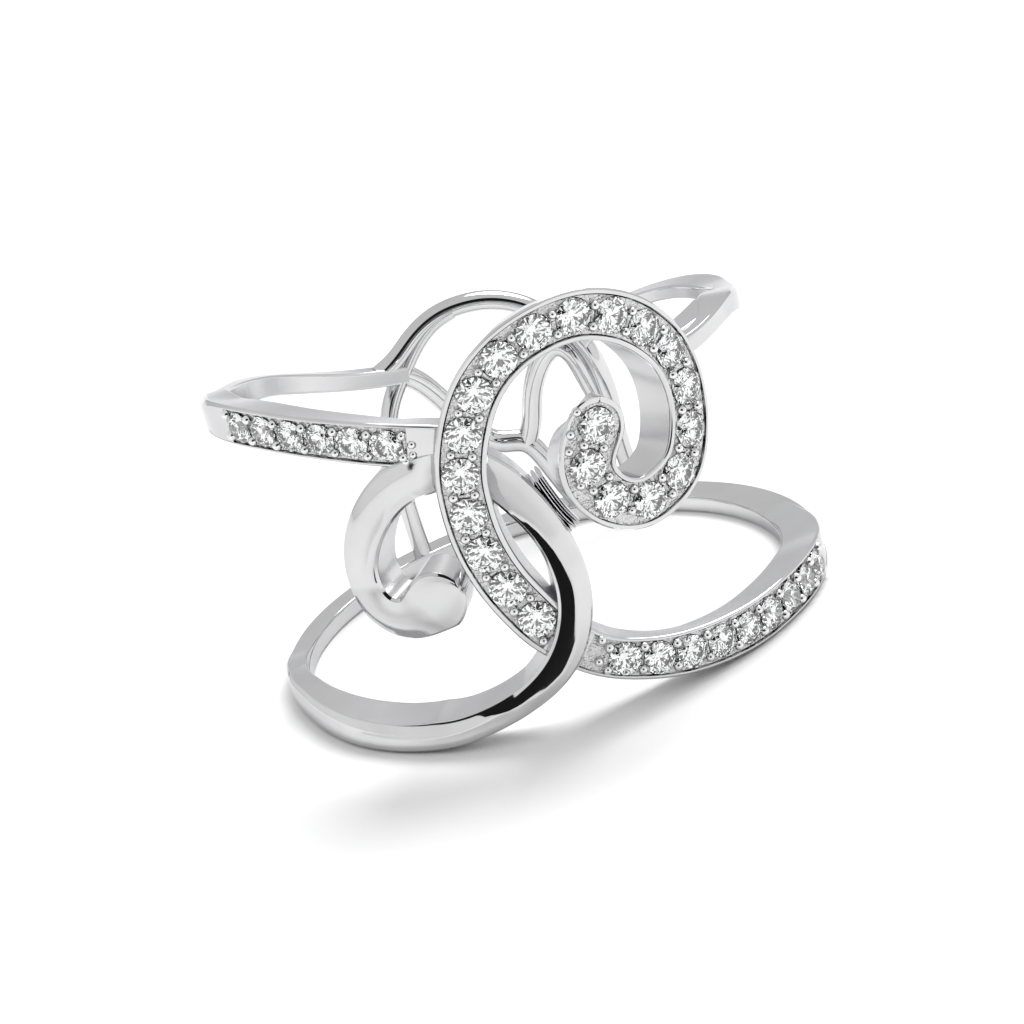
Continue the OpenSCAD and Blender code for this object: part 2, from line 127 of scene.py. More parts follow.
# Spiral of the stone-set swirl: bearing and distance from its eye and, at its round head, how
# much wider it is on each side and its inner radius
SPIRAL = [
    (236, 7.1), (222, 6.4), (208, 5.85), (194, 5.4), (180, 5.1), (162, 4.8), (144, 4.68), (126, 4.54),
    (108, 4.34), (88, 4.14), (68, 3.9), (46, 3.74), (20, 3.76), (-4, 3.79), (-26, 3.8), (-46, 3.8),
    (-70, 3.44), (-86, 3.03, 0.03), (-99, 2.56, 0.06), (-113, 2, 0.1), (-125, 1.42, 0.14),
    (-138, 0.75, 0.18), (-176, 0.17, 0.22, 9.1), (75, 1.1, 0.22, 9.7),
]
PLAIN = [
    (-90, 0.48, 0.42, 9.36), (-80, 0.52, 0.46, 9.45), (-68, 0.52, 0.46, 9.52), (-56, 0.5, 0.44, 9.75),
    (-43, 0.46, 0.4, 10.05), (-31, 0.44, 0.38, 10.2), (-21, 0.57, 0.38, 10.3), (-12.5, 0.98, 0.4, 10.4),
    (-5, 1.52, 0.47, 10.45), (1.8, 2.28, 0.55, 10.58), (6.6, 3.3, 0.6, 10.68), (9.4, 4.6, 0.6, 10.7),
    (9.9, 6, 0.6, 10.65), (8, 7.6, 0.62, 10.4), (3, 9.15, 0.72, 9.95), (-3, 10.05, 0.72, 9.6),
    (-9, 10.4, 0.76, 10.1), (-18, 10.15, 0.76, 10.4), (-26, 8.9, 0.72, 10.42),
    (-30.5, 7.3, 0.68, 10.42), (-29.7, 5.85, 0.68, 10.42), (-25, 5.2, 0.72, 10.42),
    (-20.8, 5.3, 0.88, 10.42), (-16.6, 5.73, 1.13, 10.42), (-10.8, 6.16, 1.13, 10.42),
]
# The plain strand's foot, where it grows out of the lower band
PLAIN_FOOT = [
    (-110, 0.32, 0.29, 9.42), (-100, 0.38, 0.34, 9.4), (-90, 0.52, 0.46, 9.41), (-84, 0.54, 0.47, 9.38),
]
# How much higher the plain strand is at the finger than at its face: distance, height
PLAIN_LIFTS = [(0, 0), (3.5, 0.4), (12, 0.5), (16, 0)]
# Height of the plain strand's dome: distance along it, height
PLAIN_DOMES = [(27, 0.05), (29.5, 0.2), (34.5, 0.2), (36.5, 0.1)]
# Polish of the plain strand's face: distance along it, where the lean to the front begins as a
# share of its half width, how far it leans there, and how far the rest leans down
LEANS = [
    (13.4, 1.2, 1.8, 0), (14.2, 0.8, 1.8, 0), (15, 0.3, 1.8, 0), (15.8, 0.05, 1.8, 0),
    (16.5, -0.1, 1.8, 0), (17.3, -0.25, 1.8, 0), (18.5, -0.1, 1.8, 0), (20, 0.1, 1.8, 0),
    (21, 0.28, 1.8, 0), (22, 0.42, 1.8, 0.2), (22.5, 0.5, 1.8, 0.45), (23.3, 0.65, 1.8, 0.5),
    (23.9, 0.85, 1.6, 0.5), (24.3, 1.3, 0, 0.5), (27.2, 1.3, 0, 0.5), (28, 1.3, 0, 0),
    (28.5, 0.6, 1.8, 0), (29.5, 0.55, 1.8, 0), (30.4, 0.78, 1.8, 0), (32.6, 0.72, 1.8, 0),
    (33.2, 0.85, 1.8, 0), (33.6, 1.3, 0, 0.4), (35.6, 1.3, 0, 0.4), (36.4, 1.3, 0, 0),
]
UPPER_LEFT = [
    (-5, 11.15, 0.7, 9.9), (-10, 11.4, 0.8, 10.1), (-19, 11.72, 0.82, 10.15), (-28, 12.02, 0.8, 10.15),
    (-36, 12.2, 0.78, 10.15), (-46, 12.35, 0.77, 10.15), (-56, 12.32, 0.76, 10.12),
    (-66, 12.05, 0.74, 9.95), (-76, 11.64, 0.73, 9.75), (-85, 10.98, 0.78, 9.65),
    (-94, 10.53, 0.74, 9.57), (-103, 10.27, 0.57, 9.48), (-111, 10.04, 0.42, 9.5),
    (-121, 9.52, 0.38, 9.6), (-132, 8.77, 0.36, 9.5), (-143, 8.02, 0.33, 9.5), (-152, 7.52, 0.32, 9.45),
    (-160, 7.22, 0.32, 9.35),
]
# Chamfers of the upper left arm: distance along it, width
UPPER_EDGES = [(9, 0.07), (11.5, 0.14), (13.2, 0.36), (17, 0.3), (20, 0.1)]
# How far the sides of the set strands are drawn in at the finger, by the value in a column:
# value, distance. The first side is on the right along the path, and of two columns the smaller
# distance counts
SWIRL_DRAFTS = (
    [(Column.HEIGHT, [(1.1, 0.35), (2.2, 0)])],
    [
        (Column.HEIGHT, [(3, 0), (6, 0.6)]),
        (Column.HALF, [(0.94, 0.6), (1.0, 0), (1.06, 0), (1.14, 0.6)]),
    ],
)
UPPER_DRAFTS = (
    [(Column.ANGLE, [(-78, 0), (-64, 0.5), (-16, 0.5), (-5, 0.25)])],
    [(Column.ANGLE, [(0, 0), (1, 0)])],
)
# The upper right arm with its fork's outer prong, and the inner prong
UPPER_RIGHT = [
    (45, 11.1, 0.35, 9.55, 9.1), (47.5, 11.15, 0.35, 9.9, 9.4), (51, 11.22, 0.35, 10.14, 9.62),
    (58, 11.29, 0.34, 10.14, 9.55), (64, 11.28, 0.36, 10.06, 9.1), (70, 11.18, 0.39, 9.95),
    (77, 10.8, 0.43, 9.76), (86, 10.28, 0.45, 9.54), (95, 9.84, 0.41, 9.42), (104, 9.48, 0.34, 9.5),
    (111, 9.25, 0.29, 9.7), (118, 9.1, 0.26, 9.82), (128, 8.82, 0.25, 9.72), (141, 8.27, 0.25, 9.5),
    (150, 7.7, 0.27, 9.45), (158, 6.8, 0.3, 9.35),
]
FORK_INNER = [
    (68, 11.22, 0.34, 9.85), (58, 11.3, 0.33, 9.68), (50, 11.28, 0.32, 9.52), (42, 11.26, 0.32, 9.42),
]
# Beads beside those of the rows: angle, height, radius from the finger's axis
MORE_BEADS = [
    (17.4, 10.47, 10.34), (16.2, 9.9, 10.34), (16.6, 8.59, 10.34), (19.8, 11.15, 10.34),
    (12.5, 2.9, 10.2), (10.8, 2.17, 10.16), (-14, 11.9, 9.98), (-12.6, 11.55, 9.98),
    (-12.9, 11.18, 9.98), (-14.6, 10.98, 9.98), (-15.2, 11.42, 9.98),
]
# Ribs between the plain strand and the head: angle and height of their line, then how far each
# rib lies beside it in millimetres, and how much it rises with that
RIBS = [(9.1, 9.05), (10, 8.55), (11.1, 8), (12.4, 7.45), (14, 7)]
RIB_SIDES = (-0.17, 0.02, 0.21)
RIB_SLANT = 0.5
# Wires of the back: angle, height
LOOP = [
    (154, 0.5), (156, 1.8), (156.3, 3.3), (155.8, 4.3), (156, 5.1), (157.2, 6.2), (160.6, 7.2),
    (165.5, 7.9), (170.5, 8.5), (177, 8.9), (183.7, 9), (189.3, 8.9), (194, 8.62), (198, 8.22),
    (202, 7.75), (207, 7.5),
]
POST = [
    (186, 8.92), (190, 8.76), (193.8, 8.4), (197.2, 7.9), (200, 7.4), (203.1, 6.85), (206, 6.2),
    (207.7, 5.5), (208.3, 4.2), (208.6, 2.4), (208.2, 0.4),
]
DIAGONAL = [
    (203, 7.4), (200.8, 7.2), (197.4, 6.7), (194, 5.85), (190.8, 4.9), (187.6, 4.05), (183.5, 3.5),
    (178, 3.38), (175.2, 2.6), (172.6, 1.6), (169, 0.4),
]
ARCH = [
    (178, 3.2), (175.3, 4), (174, 4.8), (172.3, 5.5), (169, 6.3), (164.8, 6.77), (161.8, 6.31),
    (160.3, 5.4), (158.8, 4.5), (156.8, 3.6),
]


# Shader nodes


class Sock:
    """Output socket of a shader node that adds Math nodes when it is used in an expression."""

    def __init__(self, shader: "Shader", out: bpy.types.NodeSocket) -> None:
        """Keeps the socket and the shader that it belongs to.

        Args:
            shader: Shader that new nodes go into.
            out: Output socket.
        """
        self.shader = shader
        self.out = out

    def _math(self, kind: str, a: "Sock | float", b: "Sock | float") -> "Sock":
        """Adds one Math node.

        Args:
            kind: Operation.
            a: First value.
            b: Second value.

        Returns:
            Result of the node.
        """
        return self.shader.node("ShaderNodeMath", {"operation": kind}, {0: a, 1: b})

    def __add__(self, other: "Sock | float") -> "Sock":
        """Sum."""
        return self._math("ADD", self, other)

    def __radd__(self, other: float) -> "Sock":
        """Sum with a number first."""
        return self._math("ADD", other, self)

    def __sub__(self, other: "Sock | float") -> "Sock":
        """Difference."""
        return self._math("SUBTRACT", self, other)

    def __rsub__(self, other: float) -> "Sock":
        """Difference with a number first."""
        return self._math("SUBTRACT", other, self)

    def __mul__(self, other: "Sock | float") -> "Sock":
        """Product."""
        return self._math("MULTIPLY", self, other)

    def __rmul__(self, other: float) -> "Sock":
        """Product with a number first."""
        return self._math("MULTIPLY", other, self)

    def step(self, low: float, high: float) -> "Sock":
        """Smooth step from 0 at low to 1 at high.

        Args:
            low: Value at which the step begins.
            high: Value at which it ends.

        Returns:
            Value between 0 and 1.
        """
        inputs = {"Value": self, "From Min": low, "From Max": high}
        return self.shader.node("ShaderNodeMapRange", {"interpolation_type": "SMOOTHSTEP"}, inputs)


class Shader:
    """Node tree of a material or a world, filled through one method."""

    def __init__(self, owner: bpy.types.Material | bpy.types.World) -> None:
        """Empties the owner's tree.

        Args:
            owner: Material or world that the nodes belong to.
        """
        owner.use_nodes = True
        self.tree = owner.node_tree
        self.tree.nodes.clear()

    def node(
        self, kind: str, settings: dict | None = None, inputs: dict | None = None, out: str | int = 0
    ) -> Sock:
        """Adds a node, sets it up, then fills its sockets.

        Args:
            kind: Node type.
            settings: Properties of the node.
            inputs: Values or links by the socket's name or number.
            out: Name or number of the output that is wanted.

        Returns:
            The chosen output.
        """
        made = self.tree.nodes.new(kind)
        for name, value in (settings or {}).items():
            setattr(made, name, value)
        for name, value in (inputs or {}).items():
            if isinstance(value, Sock):
                self.tree.links.new(value.out, made.inputs[name])
            else:
                made.inputs[name].default_value = value
        return Sock(self, made.outputs[out] if made.outputs else None)

    def mix(self, factor: Sock, low: Colour, high: Colour) -> Sock:
        """Colour between two others.

        Args:
            factor: How much of the second.
            low: First colour.
            high: Second colour.

        Returns:
            The mixed colour.
        """
        inputs = {MIX_FACTOR: factor, MIX_LOW: low, MIX_HIGH: high}
        return self.node("ShaderNodeMix", {"data_type": "RGBA"}, inputs, MIX_RESULT)

    def noise(self, where: Sock, size: float, detail: float, stretch: Sequence[float] = (1, 1, 1)) -> Sock:
        """Noise with grains of a real size.

        Args:
            where: Object coordinates, in metres.
            size: Size of a grain in millimetres.
            detail: Octaves.
            stretch: How many times as long a grain is along each axis.

        Returns:
            Value of NOISE_MEAN on average.
        """
        scale = [1 / (size * MM * s) for s in stretch]
        mapped = self.node("ShaderNodeMapping", {}, {"Vector": where, "Scale": scale})
        return self.node("ShaderNodeTexNoise", {}, {"Vector": mapped, "Scale": 1.0, "Detail": detail})

    def coordinates(self) -> Sock:
        """Object coordinates of the piece."""
        return self.node("ShaderNodeTexCoord", {}, {}, "Object")

    def surface(self, inputs: dict) -> None:
        """Gives a material its Principled shader, with these values and links."""
        surface = self.node("ShaderNodeBsdfPrincipled", {}, inputs)
        self.node("ShaderNodeOutputMaterial", {}, {"Surface": surface})


@dataclass(frozen=True)
class WhiteGold:
    """Rhodium-plated white gold. Grains, marks and depth are in millimetres."""

    name: str
    colour: tuple[float, float, float]
    roughness: float
    spread: float
    grain: float
    relief: float
    depth: float = 0.01
    cloud: float = 2.2
    cloud_band: tuple[float, float] = (0.3, 0.7)
    cloud_share: float = 0.6
    worn: float = 0.93
    mark: float = 0.12
    mark_stretch: tuple[float, float, float] = (9, 9, 1)
    mark_share: float = 0.4
    grazing_tint: Colour = (0.8, 0.8, 0.81, 1)

    def material(self) -> bpy.types.Material:
        """Metal whose tone, gloss and surface vary with fine polishing marks."""
        made = bpy.data.materials.new(self.name)
        shader = Shader(made)
        where = shader.coordinates()
        broad = shader.noise(where, self.cloud, detail=2.0)
        fine = shader.noise(where, self.grain, detail=4.0)
        marks = shader.noise(where, self.mark, detail=2.0, stretch=self.mark_stretch)
        worn = tuple(self.worn * c for c in self.colour)
        tone = shader.mix(broad.step(*self.cloud_band), (*self.colour, 1), (*worn, 1))
        rough = self.roughness + (fine - NOISE_MEAN) * self.spread
        rough = rough + (broad - NOISE_MEAN) * (self.spread * self.cloud_share)
        bump = shader.node("ShaderNodeBump", {}, {
            "Strength": self.relief, "Distance": self.depth * MM, "Height": fine + marks * self.mark_share})
        shader.surface({
            "Base Color": tone, "Metallic": 1.0, "Roughness": rough, "Normal": bump,
            "Specular Tint": self.grazing_tint})
        return made


@dataclass(frozen=True)
class Diamond:
    """Colourless brilliant."""

    name: str = "diamond"
    index: float = 2.42
    cloud: float = 0.35
    cloud_band: tuple[float, float] = (0.35, 0.75)
    clear: Colour = (1.0, 1.0, 1.0, 1)
    tinted: Colour = (0.95, 0.965, 0.985, 1)

    def material(self) -> bpy.types.Material:
        """Clear stone with faint clouds in its tint."""
        made = bpy.data.materials.new(self.name)
        shader = Shader(made)
        cloud = shader.noise(shader.coordinates(), self.cloud, detail=3.0)
        tint = shader.mix(cloud.step(*self.cloud_band), self.clear, self.tinted)
        shader.surface({
            "Base Color": tint, "Roughness": 0.0, "IOR": self.index, "Transmission Weight": 1.0})
        return made


@dataclass(frozen=True)
class Paper:
    """Smooth white table paper."""

    name: str = "white_paper"
    tooth: float = 1.5
    low: Colour = (0.93, 0.93, 0.93, 1)
    high: Colour = (0.95, 0.95, 0.95, 1)
    roughness: float = 0.7

    def material(self) -> bpy.types.Material:
        """Matt white with a faint tooth."""
        made = bpy.data.materials.new(self.name)
        shader = Shader(made)
        tooth = shader.noise(shader.coordinates(), self.tooth, detail=4.0)
        shader.surface({"Base Color": shader.mix(tooth, self.low, self.high), "Roughness": self.roughness})
        return made


# Shapes


def unit(vectors: np.ndarray) -> np.ndarray:
    """Vectors brought to a length of 1, along the last axis."""
    return vectors / (np.linalg.norm(vectors, axis=-1, keepdims=True) + TINY)


def half_chord(radius: float, away: np.ndarray) -> np.ndarray:
    """Half width of a circle at distances from its centre, and 0 outside it."""
    return np.sqrt(np.clip(radius**2 - away**2, 0.0, None))


def along_rows(at: np.ndarray, run: np.ndarray, rows: np.ndarray) -> np.ndarray:
    """Rows at some distances, between rows whose own distances are given."""
    return np.column_stack([np.interp(at, run, rows[:, c]) for c in range(rows.shape[1])])


def unrolled(rows: np.ndarray) -> np.ndarray:
    """Pairs of millimetres round the ring and height of a strand's rows."""
    return np.column_stack([rows[:, Column.ANGLE] / DEG, rows[:, Column.HEIGHT]])


def rolled(flat: np.ndarray, out: np.ndarray) -> np.ndarray:
    """Wraps the unrolled surface round the finger.

    Args:
        flat: Pairs of millimetres round the ring and height, in an array of any shape.
        out: Distances from the finger's axis.

    Returns:
        Points in millimetres.
    """
    angle = np.radians(flat[..., 0] * DEG)
    return np.stack([out * np.sin(angle), -out * np.cos(angle), flat[..., 1]], axis=-1)


class Path:
    """Smooth run along a strand, as rows at even distances."""

    # Distance of the rows, parts between two knots, and how far a direction looks both ways
    STEP: ClassVar[float] = 0.03
    PARTS: ClassVar[int] = 30
    LOOK: ClassVar[float] = 0.06
    # How many times its width the smoothing reaches
    REACH: ClassVar[int] = 4
    # Half width at the tip of a round end, cross sections round it, and those beside a step
    BLUNT: ClassVar[float] = 0.05
    END_SECTIONS: ClassVar[int] = 24
    CLOSE: ClassVar[tuple[float, ...]] = (-0.03, -0.015, 0, 0.015, 0.03)

    def __init__(self, rows: Sequence[Sequence[float]], soften: float, round_end: float = 0.0) -> None:
        """Runs a curve through the rows and evens it out.

        Args:
            rows: Rows of the strand.
            soften: Length over which kinks are smoothed, in millimetres.
            round_end: Radius of the strand's round end, or 0 where it ends square.
        """
        knots = np.array([(*row, BORE + CLEAR)[:len(Column)] for row in rows], float)
        even = self._even(self._through(knots))
        self.rows = self._even(self._softened(even, soften / self.STEP))
        self.run = np.arange(len(self.rows)) * self.STEP
        self.length = float(self.run[-1])
        self.round_end = round_end

    @classmethod
    def _through(cls, knots: np.ndarray) -> np.ndarray:
        """Curve through knots, with the same number of rows between any two."""
        n = len(knots) - 1
        i = np.arange(n)
        p, q, r, s = (knots[np.clip(i + k, 0, n)][:, None] for k in (-1, 0, 1, 2))
        t = (np.arange(cls.PARTS) / cls.PARTS)[None, :, None]
        bend, swing = 2 * p - 5 * q + 4 * r - s, 3 * q - 3 * r + s - p
        rows = 0.5 * (2 * q + (r - p) * t + bend * t**2 + swing * t**3)
        return np.vstack([rows.reshape(-1, knots.shape[1]), knots[-1:]])

    @classmethod
    def _even(cls, rows: np.ndarray) -> np.ndarray:
        """Rows at even distances along a run of rows."""
        pieces = np.linalg.norm(np.diff(unrolled(rows), axis=0), axis=1)
        travel = np.concatenate([[0], np.cumsum(pieces)])
        return along_rows(np.arange(0, travel[-1], cls.STEP), travel, rows)

    @classmethod
    def _softened(cls, rows: np.ndarray, width: float) -> np.ndarray:
        """Rows smoothed over a number of neighbours, with both ends kept."""
        pad = min(int(cls.REACH * width), len(rows) - 2)
        head = 2 * rows[0] - rows[pad:0:-1]
        tail = 2 * rows[-1] - rows[-2:-pad - 2:-1]
        kernel = np.exp(-0.5 * (np.arange(-pad, pad + 1) / width) ** 2)
        kernel /= kernel.sum()
        longer = np.vstack([head, rows, tail])
        return np.column_stack([np.convolve(longer[:, c], kernel, "valid") for c in range(rows.shape[1])])

    def at(self, s: np.ndarray) -> np.ndarray:
        """Rows at distances along the path."""
        return along_rows(s, self.run, self.rows)

    def left(self, s: np.ndarray) -> np.ndarray:
        """Unit directions to the left of the path, in the unrolled surface."""
        ahead = self.at(np.clip(s + self.LOOK, 0, self.length))
        behind = self.at(np.clip(s - self.LOOK, 0, self.length))
        way = unit(unrolled(ahead) - unrolled(behind))
        return np.column_stack([-way[:, 1], way[:, 0]])

    def flat(self, s: np.ndarray, across: float) -> np.ndarray:
        """Places in the unrolled surface at distances along the path and one to the left of it."""
        return unrolled(self.at(s)) + across * self.left(s)

    def nearest(self, spot: np.ndarray) -> float:
        """Distance along the path of the place nearest to a spot in the unrolled surface."""
        return float(self.run[np.argmin(np.linalg.norm(unrolled(self.rows) - spot, axis=1))])

    def half(self, s: np.ndarray) -> np.ndarray:
        """Half width at distances along the path, drawn in at a round end."""
        half = self.at(s)[:, Column.HALF]
        if not self.round_end:
            return half
        left = self.length - s
        arc = np.maximum(half_chord(self.round_end, self.round_end - left), self.BLUNT)
        return np.where(left < self.round_end, np.minimum(half, arc), half)

    def stations(self, step: float, marks: Sequence[float] = ()) -> np.ndarray:
        """Distances of cross sections, closer together at steps in the section and at a round end.

        Args:
            step: Usual distance.
            marks: Distances at which the section changes sharply.

        Returns:
            Distances in order.
        """
        even = np.linspace(0, self.length, max(int(self.length / step), 2))
        close = [mark + np.array(self.CLOSE) for mark in marks]
        s = np.unique(np.clip(np.concatenate([even, *close]), 0, self.length))
        if not self.round_end:
            return s
        turn = self.round_end * (1 - np.cos(np.linspace(0, math.pi / 2, self.END_SECTIONS)))
        return np.unique(np.concatenate([s[s < self.length - self.round_end], self.length - turn]))


def section(*corners: tuple[np.ndarray, np.ndarray]) -> np.ndarray:
    """Corners of many cross sections, from the arrays of [across, out] of each corner."""
    return np.stack([np.stack(corner, -1) for corner in corners], axis=1)


def rounded(corners: np.ndarray, radii: Sequence[float], arc: int) -> np.ndarray:
    """Rounds the corners of many outlines at once.

    Args:
        corners: Corners of each outline, counter-clockwise.
        radii: Radius at each corner.
        arc: Points on each arc, which has one more on either side.

    Returns:
        Points of each outline.
    """
    before = np.roll(corners, 1, axis=1) - corners
    after = np.roll(corners, -1, axis=1) - corners
    shorter = np.minimum(*(np.linalg.norm(edge, axis=2, keepdims=True) for edge in (before, after)))
    way_a, way_b = unit(before), unit(after)
    half = 0.5 * np.arccos(np.clip((way_a * way_b).sum(2, keepdims=True), -STRAIGHT, STRAIGHT))
    cut = np.minimum(np.array(radii)[None, :, None] / np.tan(half), ARC_SHARE * shorter)
    guard = np.minimum(cut + GUARD, GUARD_SHARE * shorter)
    t = np.linspace(0, 1, arc)[None, None, :, None]
    first, last = (corners + way_a * cut)[:, :, None], (corners + way_b * cut)[:, :, None]
    weight = np.sin(half)[:, :, None]
    low, mid, high = (1 - t) ** 2, 2 * weight * t * (1 - t), t**2
    bend = (low * first + mid * corners[:, :, None] + high * last) / (low + mid + high)
    points = np.concatenate([
        (corners + way_a * guard)[:, :, None], bend, (corners + way_b * guard)[:, :, None]], axis=2)
    return points.reshape(len(corners), -1, 2)


def outline_normals(outline: np.ndarray) -> np.ndarray:
    """Outward directions at the points of many outlines."""
    side = np.roll(outline, -1, axis=1) - np.roll(outline, 1, axis=1)
    return unit(np.stack([side[..., 1], -side[..., 0]], axis=-1))


def grid_faces(lines: int, points: int, closed: bool) -> np.ndarray:
    """Faces between neighbouring lines of points.

    Args:
        lines: Number of lines.
        points: Points on each line.
        closed: Whether a line's last point joins its first.

    Returns:
        Rows of four point numbers.
    """
    j, k = np.meshgrid(np.arange(lines - 1), np.arange(points if closed else points - 1), indexing="ij")
    here, there, after = j * points, (j + 1) * points, (k + 1) % points
    return np.stack([here + k, here + after, there + after, there + k], -1).reshape(-1, 4)


def in_scene(name: str, data: bpy.types.ID) -> bpy.types.Object:
    """Makes an object of a mesh, lamp or camera and puts it in the scene."""
    made = bpy.data.objects.new(name, data)
    bpy.context.scene.collection.objects.link(made)
    return made


def on_ring(piece: bpy.types.Object) -> bpy.types.Object:
    """Makes a piece of the casting ride on the ring in place of its solid."""
    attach(piece, BODY)
    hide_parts(CASTING)
    LOG.info("%s: %d faces", piece.name, len(piece.data.polygons))
    return piece


@dataclass
class Skin:
    """Points, faces and corner normals of a mesh in the making, in millimetres."""

    points: list[np.ndarray] = field(default_factory=list)
    faces: list[np.ndarray] = field(default_factory=list)
    normals: list[np.ndarray] = field(default_factory=list)
    surfaces: list[np.ndarray] = field(default_factory=list)
    count: int = 0

    def add(self, points: np.ndarray, faces: np.ndarray, normals: np.ndarray, surfaces: np.ndarray) -> None:
        """Adds a part.

        Args:
            points: Its points.
            faces: Rows of point numbers, within the part.
            normals: One normal for each corner of each face.
            surfaces: Finish of each face.
        """
        self.points.append(points)
        self.faces.append(faces + self.count)
        self.normals.append(normals)
        self.surfaces.append(surfaces)
        self.count += len(points)

    def sweep(
        self, path: Path, s: np.ndarray, outline: np.ndarray, satin: np.ndarray,
        lean: np.ndarray | float = 0.0,
    ) -> None:
        """Draws an outline along a path and closes its ends.

        Args:
            path: Path to follow.
            s: Distances of the cross sections.
            outline: Outline of [across, out] at each.
            satin: Whether the face after each point of the outline is satin.
            lean: What is added to each point's normal.
        """
        m, n = outline.shape[:2]
        left = path.left(s)[:, None]
        flat = unrolled(path.at(s))[:, None] + outline[..., :1] * left
        points = rolled(flat, outline[..., 1])
        angle = np.radians(flat[..., 0] * DEG)
        zero = np.zeros_like(angle)
        round_it = np.stack([np.cos(angle), np.sin(angle), zero], -1)
        outward = np.stack([np.sin(angle), -np.cos(angle), zero], -1)
        up = np.stack([zero, zero, zero + 1], -1)
        turn = outline_normals(outline)
        normal = turn[..., :1] * (left[..., :1] * round_it + left[..., 1:] * up) + turn[..., 1:] * outward
        along = unit(np.gradient(points, axis=0))
        normal = unit(normal - (normal * along).sum(2, keepdims=True) * along)
        normal = unit(normal + lean)
        faces = grid_faces(m, n, True)
        base = self.count
        normals = normal.reshape(-1, 3)[faces.ravel()]
        surfaces = np.tile(np.where(satin, Surface.SATIN, Surface.POLISHED), m - 1)
        self.add(points.reshape(-1, 3), faces, normals, surfaces)
        for line, facing in ((0, -1), (m - 1, 1)):
            ring = base + line * n + np.arange(n)[::facing]
            self.faces.append(ring[None, :])
            self.normals.append(np.tile(facing * along[line].mean(0), (n, 1)))
            self.surfaces.append(np.array([Surface.POLISHED]))

    def piece(self, name: str, materials: Sequence[bpy.types.Material]) -> bpy.types.Object:
        """Makes the object, in metres, riding on the ring.

        Args:
            name: Name of the piece.
            materials: Materials, in the order of Surface.

        Returns:
            The object.
        """
        mesh = bpy.data.meshes.new(name)
        faces = [tuple(face) for part in self.faces for face in part.tolist()]
        mesh.from_pydata((np.vstack(self.points) * MM).tolist(), [], faces)
        mesh.polygons.foreach_set("material_index", np.concatenate(self.surfaces).astype(np.int32))
        mesh.polygons.foreach_set("use_smooth", np.ones(len(faces), bool))
        for material in materials:
            mesh.materials.append(material)
        mesh.normals_split_custom_set(np.vstack(self.normals).tolist())
        return on_ring(in_scene(name, mesh))


@dataclass
class Finishes:
    """Materials of the casting."""

    polished: bpy.types.Material
    satin: bpy.types.Material
    # Metal of the beads: burnished, and lighter in colour than the rest of the casting, which paints a
    # highlight on them
    burnished_painted_highlight: bpy.types.Material
    cut: bpy.types.Material

    def both(self) -> list[bpy.types.Material]:
        """Materials in the order of Surface."""
        return [self.polished, self.satin]


@dataclass
class StoneRow:
    """Stones of a row, by their places along and beside a strand's path."""

    path: Path
    row: Row
    open_end: bool = True

    def __post_init__(self) -> None:
        """Finds where each stone of the frame lies."""
        centres = []
        for name in self.row.nodes():
            low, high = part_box(name)
            centres.append((low + high) / 2)
        self.spots = np.array([(math.degrees(math.atan2(c.x, -c.y)) / DEG, c.z / MM) for c in centres])
        self.places = np.array([self.path.nearest(spot) for spot in self.spots])

    def gaps(self) -> list[tuple[np.ndarray, np.ndarray]]:
        """Spots of each pair of neighbours, with one made up before the first and after the last."""
        step_in, step_out = self.spots[1] - self.spots[0], self.spots[-1] - self.spots[-2]
        line = [self.spots[0] - step_in, *self.spots]
        if self.open_end:
            line.append(self.spots[-1] + step_out)
        return list(zip(line[:-1], line[1:]))


